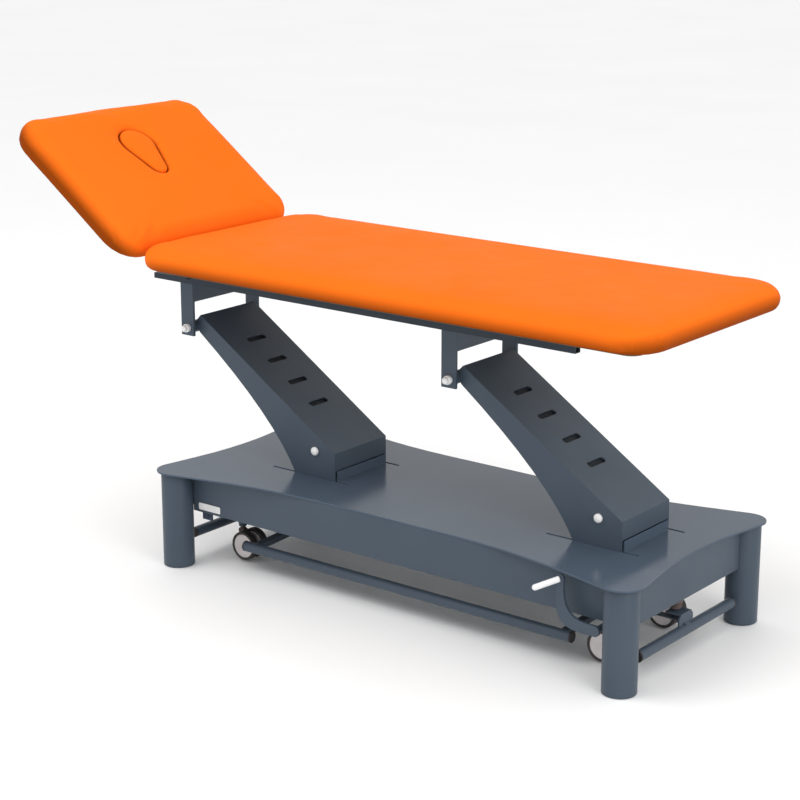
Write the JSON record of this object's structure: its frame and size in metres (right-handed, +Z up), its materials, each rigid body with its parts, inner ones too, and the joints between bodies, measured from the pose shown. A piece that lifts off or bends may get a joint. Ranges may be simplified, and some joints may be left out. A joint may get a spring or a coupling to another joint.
{
  "type": "examination couch",
  "caption": "Padded examination couch with a tilting head section, electric parallel-arm lift, all-round foot-control bars and a pedal that lowers castors.",
  "frame": {"origin": "on the floor under the middle of the couch's outline at rest, with the head section raised as modelled", "axes": "+X along the couch to the foot end, +Z up, +Y to the rear side, away from the castor pedal"},
  "size_m": [1.9102, 0.65, 1.0928],
  "materials": {
    "paint": "smooth semi-gloss slate blue-grey powder coat",
    "upholstery": "satin orange artificial leather over foam",
    "plywood": "raw birch plywood",
    "white_cap": "glossy white plastic",
    "zinc": "bright zinc plate",
    "dark_plastic": "black moulded plastic",
    "brown_rubber": "dark brown rubber and plastic",
    "castor_wheel": "pale plastic disc with a dark brown tread"
  },
  "bodies": {
    "base": {"base_plate": "paint", "skirt_front": "paint", "skirt_rear": "paint", "skirt_head": "paint", "skirt_foot": "paint", "leg_head_front": "paint", "leg_head_rear": "paint", "leg_foot_front": "paint", "leg_foot_rear": "paint", "arm_bracket_head": "paint", "arm_bracket_foot": "paint", "lower_bolt_head": "white_cap", "lower_bolt_foot": "white_cap", "actuator_tube": "zinc", "actuator_motor": "dark_plastic", "control_box": "dark_plastic", "mains_inlet": "dark_plastic", "bar_switch_head": "brown_rubber", "bar_switch_foot": "brown_rubber"},
    "head_arm": {"arm_head": "paint"},
    "foot_arm": {"arm_foot": "paint"},
    "lift_rod": {"actuator_rod": "zinc"},
    "top_frame": {"rail_front": "paint", "rail_rear": "paint", "hanger_beam_head": "paint", "hanger_beam_foot": "paint", "hanger_post_head_front": "paint", "hanger_post_head_rear": "paint", "hanger_post_foot_front": "paint", "hanger_post_foot_rear": "paint", "upper_bolt_head": "white_cap", "upper_bolt_foot": "white_cap", "crossbar_head": "paint", "crossbar_foot": "paint", "main_board": "plywood", "main_cushion": "upholstery", "strut_cylinder": "dark_plastic"},
    "head_section": {"head_frame": "paint", "head_board": "plywood", "head_cushion": "upholstery"},
    "plug": {"face_plug": "upholstery"},
    "strut": {"strut_rod": "zinc"},
    "pedal": {"castor_pedal": "paint", "pedal_pin": "white_cap"},
    "second_axle": {"castor_axle": "paint"},
    "link": {"link_rod": "zinc"},
    "carriage_head": {"castor_carriage_head": "paint"},
    "castor_head_front": {"castor_body_head_front": "brown_rubber"},
    "wheels_head_front": {"castor_wheels_head_front": "castor_wheel"},
    "castor_head_rear": {"castor_body_head_rear": "brown_rubber"},
    "wheels_head_rear": {"castor_wheels_head_rear": "castor_wheel"},
    "carriage_foot": {"castor_carriage_foot": "paint"},
    "castor_foot_front": {"castor_body_foot_front": "brown_rubber"},
    "wheels_foot_front": {"castor_wheels_foot_front": "castor_wheel"},
    "castor_foot_rear": {"castor_body_foot_rear": "brown_rubber"},
    "wheels_foot_rear": {"castor_wheels_foot_rear": "castor_wheel"},
    "bar_front": {"foot_bar_front": "paint"},
    "bar_rear": {"foot_bar_rear": "paint"},
    "bar_head": {"foot_bar_head": "paint"},
    "bar_foot": {"foot_bar_foot": "paint"}
  },
  "joints": [
    {"name": "lift", "type": "hinge", "parent": "base", "child": "head_arm", "pos_m": [-0.11993, 0, 0.318], "axis": [0, 1, 0], "range_deg": [-36, 27]},
    {"name": "foot_arm_swing", "type": "hinge", "parent": "base", "child": "foot_arm", "pos_m": [0.70967, 0, 0.318], "axis": [0, 1, 0], "range_deg": [-36.1, 27.1]},
    {"name": "frame_level", "type": "hinge", "parent": "head_arm", "child": "top_frame", "pos_m": [-0.52223, 0, 0.5761], "axis": [0, 1, 0], "range_deg": [-27.1, 36.1]},
    {"name": "lift_rod_slide", "type": "slide", "parent": "base", "child": "lift_rod", "axis": [-1, 0, 0], "range_m": [-0.0668, 0.0502]},
    {"name": "head_tilt", "type": "hinge", "parent": "top_frame", "child": "head_section", "pos_m": [-0.53893, 0, 0.744], "axis": [0, 1, 0], "range_deg": [-52, 2]},
    {"name": "strut_slide", "type": "slide", "parent": "top_frame", "child": "strut", "axis": [-1, 0, 0], "range_m": [-0.0352, 0.0015]},
    {"name": "plug_lift", "type": "slide", "parent": "head_section", "child": "plug", "axis": [0.5838, 0, 0.8119], "range_m": [0, 0.06]},
    {"name": "pedal_press", "type": "hinge", "parent": "base", "child": "pedal", "pos_m": [0.82007, 0, 0.131], "axis": [0, -1, 0], "range_deg": [0, 25]},
    {"name": "second_axle_turn", "type": "hinge", "parent": "base", "child": "second_axle", "pos_m": [-0.37993, 0, 0.131], "axis": [0, 1, 0], "range_deg": [0, 25.1]},
    {"name": "link_slide", "type": "slide", "parent": "base", "child": "link", "axis": [-1, 0, 0], "range_m": [0, 0.0158]},
    {"name": "carriage_head_drop", "type": "slide", "parent": "base", "child": "carriage_head", "axis": [0, 0, -1], "range_m": [0, 0.0162]},
    {"name": "swivel_head_front", "type": "hinge", "parent": "carriage_head", "child": "castor_head_front", "pos_m": [-0.34293, -0.13, 0.084], "axis": [0, 0, 1], "continuous": true},
    {"name": "roll_head_front", "type": "hinge", "parent": "castor_head_front", "child": "wheels_head_front", "pos_m": [-0.31893, -0.13, 0.04], "axis": [0, 1, 0], "continuous": true},
    {"name": "swivel_head_rear", "type": "hinge", "parent": "carriage_head", "child": "castor_head_rear", "pos_m": [-0.34293, 0.13, 0.084], "axis": [0, 0, 1], "continuous": true},
    {"name": "roll_head_rear", "type": "hinge", "parent": "castor_head_rear", "child": "wheels_head_rear", "pos_m": [-0.31893, 0.13, 0.04], "axis": [0, 1, 0], "continuous": true},
    {"name": "carriage_foot_drop", "type": "slide", "parent": "base", "child": "carriage_foot", "axis": [0, 0, -1], "range_m": [0, 0.0162]},
    {"name": "swivel_foot_front", "type": "hinge", "parent": "carriage_foot", "child": "castor_foot_front", "pos_m": [0.78307, -0.13, 0.084], "axis": [0, 0, 1], "continuous": true},
    {"name": "roll_foot_front", "type": "hinge", "parent": "castor_foot_front", "child": "wheels_foot_front", "pos_m": [0.75907, -0.13, 0.04], "axis": [0, 1, 0], "continuous": true},
    {"name": "swivel_foot_rear", "type": "hinge", "parent": "carriage_foot", "child": "castor_foot_rear", "pos_m": [0.78307, 0.13, 0.084], "axis": [0, 0, 1], "continuous": true},
    {"name": "roll_foot_rear", "type": "hinge", "parent": "castor_foot_rear", "child": "wheels_foot_rear", "pos_m": [0.75907, 0.13, 0.04], "axis": [0, 1, 0], "continuous": true},
    {"name": "bar_front_press", "type": "hinge", "parent": "base", "child": "bar_front", "pos_m": [0.22007, -0.075, 0.236], "axis": [1, 0, 0], "range_deg": [-3, 3], "stiffness_Nm_per_rad": 400, "springref_deg": -0.74},
    {"name": "bar_rear_press", "type": "hinge", "parent": "base", "child": "bar_rear", "pos_m": [0.22007, 0.075, 0.236], "axis": [-1, 0, 0], "range_deg": [-3, 3], "stiffness_Nm_per_rad": 400, "springref_deg": -0.74},
    {"name": "bar_head_press", "type": "hinge", "parent": "base", "child": "bar_head", "pos_m": [-0.29993, 0, 0.236], "axis": [0, -1, 0], "range_deg": [-1, 3], "stiffness_Nm_per_rad": 200, "springref_deg": -0.73},
    {"name": "bar_foot_press", "type": "hinge", "parent": "base", "child": "bar_foot", "pos_m": [0.74007, 0, 0.236], "axis": [0, 1, 0], "range_deg": [-1, 3], "stiffness_Nm_per_rad": 200, "springref_deg": -0.73}
  ],
  "couplings": [
    {"joint": "foot_arm_swing", "follows": "lift", "ratio": 1},
    {"joint": "frame_level", "follows": "lift", "ratio": -1},
    {"joint": "lift_rod_slide", "follows": "lift", "m_per_rad": 0.106},
    {"joint": "strut_slide", "follows": "head_tilt", "m_per_rad": 0.03845},
    {"joint": "second_axle_turn", "follows": "pedal_press", "ratio": 1},
    {"joint": "link_slide", "follows": "pedal_press", "m_per_rad": 0.036},
    {"joint": "carriage_head_drop", "follows": "pedal_press", "m_per_rad": 0.037},
    {"joint": "carriage_foot_drop", "follows": "pedal_press", "m_per_rad": 0.037}
  ]
}
